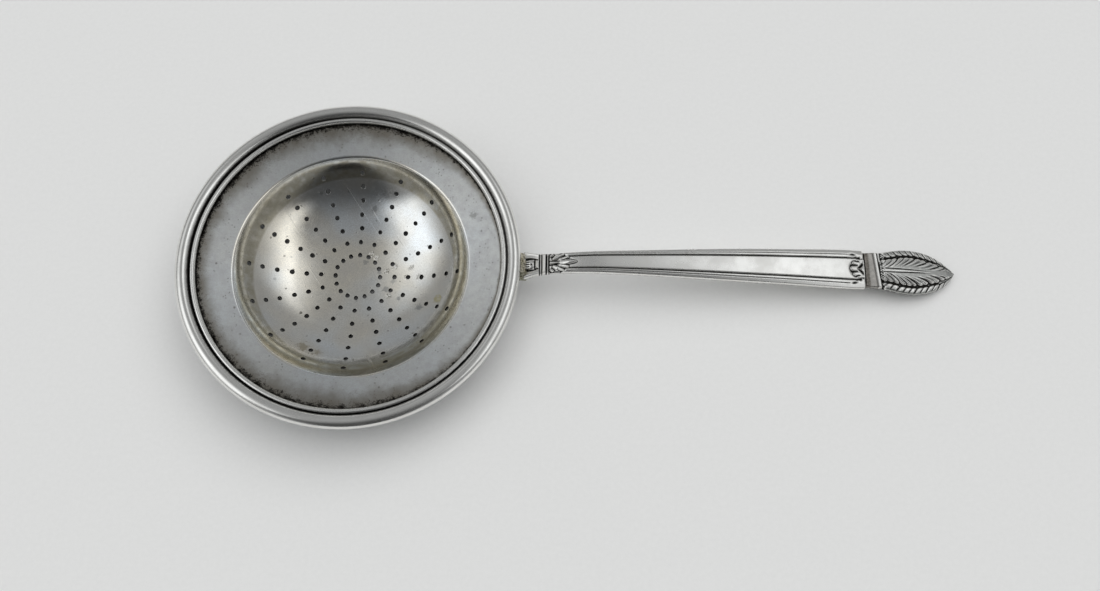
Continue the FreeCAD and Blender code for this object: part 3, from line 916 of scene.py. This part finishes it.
def sheet_paint():
    """Worn silver. Stains and tarnish are on the upper face only."""
    p = Paint(bpy.data.materials.new("silver_sheet"))
    r = p.radius()
    upper = p.minus(1.0, p.attribute("under"))
    broad = p.noise(160, 4, 0.6)
    patch = p.noise(520, 4, 0.65)
    coarse = p.noise(1300, 3, 0.6)
    fine = p.noise(3800, 3, 0.65)
    lump = p.noise(2600, 2, 0.5)
    black, haze = sheet_tarnish(p, r, broad, patch, coarse, fine)
    black = p.times(black, upper)
    # regions of the sheet
    flange = p.step(r, 29.4, 29.9)
    wall = p.times(p.step(r, 25.0, 25.6), p.step(r, 29.0, 28.4), upper)
    shoulder = p.times(p.step(r, 20.0, 25.2), p.step(r, 25.7, 25.3))
    # dirt
    specks = p.times(p.dots(900, 0.32, 0.22), p.step(patch, 0.5, 0.62))
    flange_specks = p.times(p.dots(1500, 0.34, 0.35), p.step(broad, 0.5, 0.62), flange)
    spots = p.times(p.dots(290, 0.15, 0.22), p.step(r, 26, 24))
    dirt = p.times(p.most(*(p.spot(x, y, CRUMB_RADIUS, coarse) for x, y in CRUMBS)), upper)
    crust = p.times(dirt, p.step(lump, 0.46, 0.56))
    warm = p.step(p.noise(38, 3, 0.55), 0.38, 0.62)
    colour = p.coats(
        p.mix(warm, Tint.COOL_SILVER, Tint.WARM_SILVER),
        (p.step(broad, 0.4, 0.75, 0.0, 0.5), Tint.DULL_SHEET),
        (p.times(flange, 0.8), Tint.FLANGE),
        (p.step(fine, 0.4, 0.62, 0.0, 0.4), Tint.GRAIN),
        (p.times(p.step(patch, 0.35, 0.7), p.times(flange, 0.4)), Tint.FLANGE_PATCH),
        (p.times(shoulder, 0.3), Tint.SHOULDER),
        (p.times(wall, p.step(patch, 0.2, 0.7, 0.4, 0.95)), Tint.WALL),
        (p.times(spots, 0.5), Tint.SPOT),
        (p.times(p.plus(specks, flange_specks), 0.6), Tint.SPECK),
        (p.times(haze, upper), Tint.HAZE))
    for x, y, size, share, tint in STAINS:
        colour = p.mix(p.times(p.spot(x, y, size, coarse), p.times(upper, share)), colour, tint)
    # BLACK covers the tarnish crust and, through the attribute recess, the hole walls, which are
    # painted black as shade inside the holes
    colour = p.coats(
        colour,
        (p.times(dirt, p.step(lump, 0.46, 0.38, 0.0, 0.75)), Tint.GRIT),
        (p.times(crust, 0.8), Tint.CRUMB),
        (p.most(black, p.attribute("recess")), Tint.BLACK))
    deep_scratches = p.step(p.noise(1.0, 1.0, 0.5, p.scaled((60, 1300, 60), -0.96)), 0.7, 0.8)
    satin = p.plus(p.times(flange, 0.18), p.step(patch, 0.3, 0.75, 0.12, 0.2))
    marks = p.times(p.plus(deep_scratches, crust), 0.15)
    waves = p.bump(p.noise(45, 2, 0.5), 0.05)
    scratched = p.bump(p.minus(p.scratches(), p.times(deep_scratches, 0.5)), 0.008, waves)
    pits = p.minus(p.times(crust, 1.6), p.plus(specks, p.times(patch, 0.3)))
    return p.finish(colour, satin, black, p.bump(pits, 0.02, scratched), marks)


CLEAN_SIDE = 40  # degrees from the handle's line, where the groove is least black


def wire_paint():
    """Polished wire. The groove between the two wires and the inner one's foot are black."""
    p = Paint(bpy.data.materials.new("silver_wire"))
    r = p.radius()
    broad = p.noise(140, 4, 0.6)
    fine = p.noise(1800, 3, 0.6)
    height = p.plus(p.part(2), p.spread(fine, 0.35))
    clean = p.facing(r, CLEAN_SIDE)
    edge = p.step(clean, 0.0, 0.8, 40.0, 39.68)
    on_outer = p.times(p.step(r, edge, p.minus(edge, 0.2)), p.step(height, 2.6, 2.1),
                       p.step(r, 39.0, 39.08))
    on_inner = p.times(p.step(r, 38.45, 38.75), p.step(height, 2.05, 1.75), p.step(r, 39.12, 39.06))
    foot = p.times(p.step(r, 38.0, 37.8), p.step(height, 1.7, 1.2))
    black = p.times(p.most(on_outer, foot, on_inner), p.step(clean, 0.1, 0.9, 0.97, 0.65))
    colour = p.mix(p.step(broad, 0.35, 0.7, 0.0, 0.5), Tint.SILVER, Tint.DULL_WIRE)
    satin = p.plus(p.step(broad, 0.3, 0.7, 0.17, 0.25), p.step(r, 39.15, 39.0, 0.0, 0.07))
    waves = p.bump(p.noise(90, 2, 0.5), 0.02)
    return p.finish(p.mix(black, colour, Tint.BLACK), satin, black,
                    p.bump(p.scratches(), 0.0008, waves))


def struck_paint():
    """The handle. The attribute recess is 1 in the ornament's hollows and -1 on its crests."""
    p = Paint(bpy.data.materials.new("silver_struck"))
    broad = p.noise(180, 4, 0.6)
    fine = p.noise(1600, 3, 0.6)
    along = p.part(0)
    slanted = p.plus(along, p.times(p.part(1), FERRULE_SLANT))
    relief_depth = p.plus(p.attribute("recess"), p.spread(fine, 0.35))
    black = p.step(relief_depth, 0.1, 0.5)
    crest_wear_and_highlight = p.step(relief_depth, 0.05, -0.38)
    finial = p.step(along, 132.9, 133.1)
    ornament = p.most(p.times(finial, 0.88), p.step(along, 57.0, 54.5, 0.0, 0.12))
    # the ferrule is coloured dark, darkest towards the shaft: tarnish and a painted shade for the
    # concave band's dark reflection
    ferrule = p.times(p.step(along, 128.85, 128.95), p.step(slanted, 132.1, 131.9),
                      p.step(along, 130.5, 130.1, 0.72, 0.95))
    colour = p.coats(
        p.mix(p.step(broad, 0.35, 0.7, 0.0, 0.4), Tint.SILVER, Tint.DULL_HANDLE),
        # the grey ornament tint stays off the crests, which keep bright silver: wear on the high
        # points and a painted highlight
        (p.times(ornament, p.minus(1.0, crest_wear_and_highlight)), Tint.ORNAMENT),
        (ferrule, p.mix(p.step(fine, 0.35, 0.65), Tint.FERRULE_DARK_TARNISH_AND_SHADE, Tint.FERRULE_PALE_TARNISH_AND_SHADE)),
        (p.times(black, 0.97), Tint.BLACK))
    satin = p.step(broad, 0.3, 0.7, 0.22, 0.32)
    waves = p.bump(p.noise(90, 2, 0.5), 0.03)
    return p.finish(colour, satin, black, p.bump(p.scratches(), 0.0015, waves))


def solder_paint():
    """Yellowish hard solder, porous and darker at one end."""
    p = Paint(bpy.data.materials.new("solder"))
    broad = p.noise(700, 4, 0.65)
    fine = p.noise(2600, 3, 0.6)
    colour = p.coats(
        p.mix(p.step(broad, 0.3, 0.65), Tint.SOLDER_DARK, Tint.SOLDER_PALE),
        (p.times(p.step(p.part(1), -1.2, -3.2), 0.7), Tint.SOLDER_END),
        (p.step(fine, 0.52, 0.62), Tint.SOLDER_PORE))
    satin = p.step(fine, 0.3, 0.7, 0.35, 0.55)
    return p.finish(colour, satin, None, p.bump(p.plus(broad, fine), 0.16))


# ------------------------ the pieces

sheet = SheetMesh(SheetLine())
silver_wire = wire_paint()
# the hole walls' painted shade goes in as the attribute recess
make_piece("bowl_sheet", np.concatenate(sheet.points), sheet.faces, "strainer_bowl", "sheet_silver",
           sheet_paint(), np.concatenate(sheet.normals), recess=np.concatenate(sheet.dark),
           under=np.concatenate(sheet.under))
for name, node, section in (("outer_wire", "rim_bead_outer", OUTER_WIRE),
                            ("inner_wire", "rim_bead_inner", INNER_WIRE)):
    points, faces, normals = wire_ring(*section)
    make_piece(name, points, faces, node, "wire_silver", silver_wire, normals)
points, faces, recess = handle_mesh()
make_piece("handle_struck", points, faces, "handle", "struck_silver", struck_paint(), recess=recess)
points, faces = solder_mesh()
make_piece("root_solder", points, faces, "handle_solder", "solder", solder_paint())

# ------------------------ floor, light, camera

FLOOR_SIDES = 64
FLOOR_RINGS = ((1.0, 0.0), (3.0, 0.0), (5.0, 0.05), (7.0, 0.3),  # radius and rise in metres
               (9.0, 0.8), (11.0, 1.6), (12.0, 2.1))
FLOOR_GAP = 0.00002  # metres below the object
STEEPEST_FLOOR = 0.2  # radians
SHADE_START_R = 39.5  # a painted shadow: the floor's colour darkens beneath the bowl
SHADE_FULL_R = 33


def floor_plane():
    """The plane that touches the bowl's underside and the handle's tip, as slope and height."""
    def lowest(name, slope):
        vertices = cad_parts[name].data.vertices
        co = np.zeros(len(vertices) * 3)
        vertices.foreach_get("co", co)
        co = co.reshape(-1, 3)
        return (co[:, 2] * math.cos(slope) - co[:, 0] * math.sin(slope)).min()

    low, high = 0.0, STEEPEST_FLOOR
    for _ in range(30):
        slope = (low + high) / 2
        if lowest("strainer_bowl", slope) < lowest("handle", slope):
            low = slope
        else:
            high = slope
    return slope, lowest("strainer_bowl", slope)


def make_floor():
    """A dish: flat round the object, level further out, and rising towards its far edge."""
    slope, height = floor_plane()
    mesh = bpy.data.meshes.new("floor")
    points = [(0.0, 0.0, 0.0)]
    for radius, rise in FLOOR_RINGS:
        level = min((radius - 1) / 4, 1) * math.tan(slope)
        for a in np.arange(FLOOR_SIDES) * 2 * math.pi / FLOOR_SIDES:
            x, y = radius * math.cos(a), radius * math.sin(a)
            points.append((x, y, rise - level * x))
    turns = [(c, (c + 1) % FLOOR_SIDES) for c in range(FLOOR_SIDES)]
    faces = [(0, 1 + c, 1 + d) for c, d in turns]
    for first in range(1, len(points) - FLOOR_SIDES, FLOOR_SIDES):
        beyond = first + FLOOR_SIDES
        faces += [(first + c, beyond + c, beyond + d, first + d) for c, d in turns]
    mesh.from_pydata(points, [], faces)
    mesh.polygons.foreach_set("use_smooth", [True] * len(faces))
    floor = bpy.data.objects.new("floor", mesh)
    bpy.context.scene.collection.objects.link(floor)
    up = Vector((-math.sin(slope), 0, math.cos(slope)))
    place = Matrix.Translation(up * (height - FLOOR_GAP))
    floor.matrix_world = place @ Matrix.Rotation(-slope, 4, "Y")
    p = Paint(bpy.data.materials.new("pale_floor"))
    pale = p.mix(p.noise(900, 4, 0.6), Tint.FLOOR_GREY, Tint.FLOOR_PALE)
    # painted shadow: the floor's colour turns dark beneath the bowl, where its shade falls
    shade = p.step(p.radius(), SHADE_START_R, SHADE_FULL_R)
    p.feed(p.shader.inputs["Base Color"], p.mix(shade, pale, Tint.FLOOR_PAINTED_SHADOW))
    p.shader.inputs["Roughness"].default_value = 0.8
    p.shader.inputs["Specular IOR Level"].default_value = 0.2
    mesh.materials.append(p.owner)


def make_floor_light():
    """Broad overhead light that the metal doesn't mirror. The room below lights the metal."""
    light = bpy.data.lights.new("floor_light", "SUN")
    light.energy = 1.35
    light.angle = 1.3
    lamp = bpy.data.objects.new("floor_light", light)
    lamp.rotation_euler = (math.radians(-14), math.radians(8), 0)
    lamp.visible_glossy = False
    bpy.context.scene.collection.objects.link(lamp)


ROOM_LEVEL = 0.31
LEFT_LIGHT = 0.98
RIGHT_LIGHT = 0.93
LOWEST_HEIGHT = 0.12  # directions nearer the horizon than this look the same


def make_room():
    """A grey room with two soft window-like lights overhead, and darker at the front.

    u and v are where a direction meets a ceiling at height 1: to the right and to the back."""
    world = bpy.data.worlds.new("room")
    bpy.context.scene.world = world
    p = Paint(world, "Background", "Generated")
    high = p.most(p.part(2, 1.0), LOWEST_HEIGHT)
    u = p.over(p.part(0, 1.0), high)
    v = p.over(p.part(1, 1.0), high)
    shade = p.plus(p.step(v, 0.3, -0.75, 0.0, 0.24), p.step(v, -1.85, -2.6, 0.0, 0.05))
    shade = p.times(shade, p.step(p.math("ABSOLUTE", u), 1.3, 0.5))

    def fall(start, length, along):
        """1 up to start, then dying away over the length."""
        past = p.most(p.minus(along, start), 0.0)
        return p.math("EXPONENT", p.times(past, -1 / length))

    # left light: a wide soft sheet
    out = p.times(u, -1.0)
    front = p.plus(v, p.times(out, 0.5))
    left = p.times(p.step(out, 0.25, 0.66), fall(1.1, 0.75, out),
                   p.times(p.step(front, -0.37, -0.03), p.step(v, 0.95, -0.05)))
    # right light: narrower, its near edge slanting in towards the back
    inside = p.minus(u, p.step(v, -0.15, 0.3, 0.48, 0.2))
    right = p.times(p.step(inside, -0.17, 0.17), fall(0.24, 0.4, inside),
                    p.times(p.step(v, -0.66, -0.33), p.step(v, 1.0, 0.4)))
    lights = p.plus(p.times(left, LEFT_LIGHT), p.times(right, RIGHT_LIGHT))
    p.links.new(p.plus(p.minus(ROOM_LEVEL, shade), lights), p.shader.inputs["Strength"])
    p.shader.inputs["Color"].default_value = Tint.DAYLIGHT


def make_camera():
    """Nearly overhead, from in front of the handle's root."""
    camera = bpy.data.cameras.new("camera")
    camera.lens = 30.805
    camera.sensor_width = 36.0
    camera.sensor_fit = "HORIZONTAL"
    camera.clip_start = 0.005
    eye = bpy.data.objects.new("camera", camera)
    bpy.context.scene.collection.objects.link(eye)
    right = Vector((0.99934644, 0.0098945, 0.03476754))
    up = Vector((-0.02012386, 0.95126659, 0.30771238))
    back = Vector((-0.03002854, -0.30821093, 0.950844))
    turn = Matrix((right, up, back)).transposed().to_4x4()
    eye.matrix_world = Matrix.Translation(Vector((42.89, -80.10, 222.35)) * MM) @ turn
    bpy.context.scene.camera = eye


make_floor()
make_room()
make_floor_light()
make_camera()
bpy.context.scene.view_settings.view_transform = "Standard"
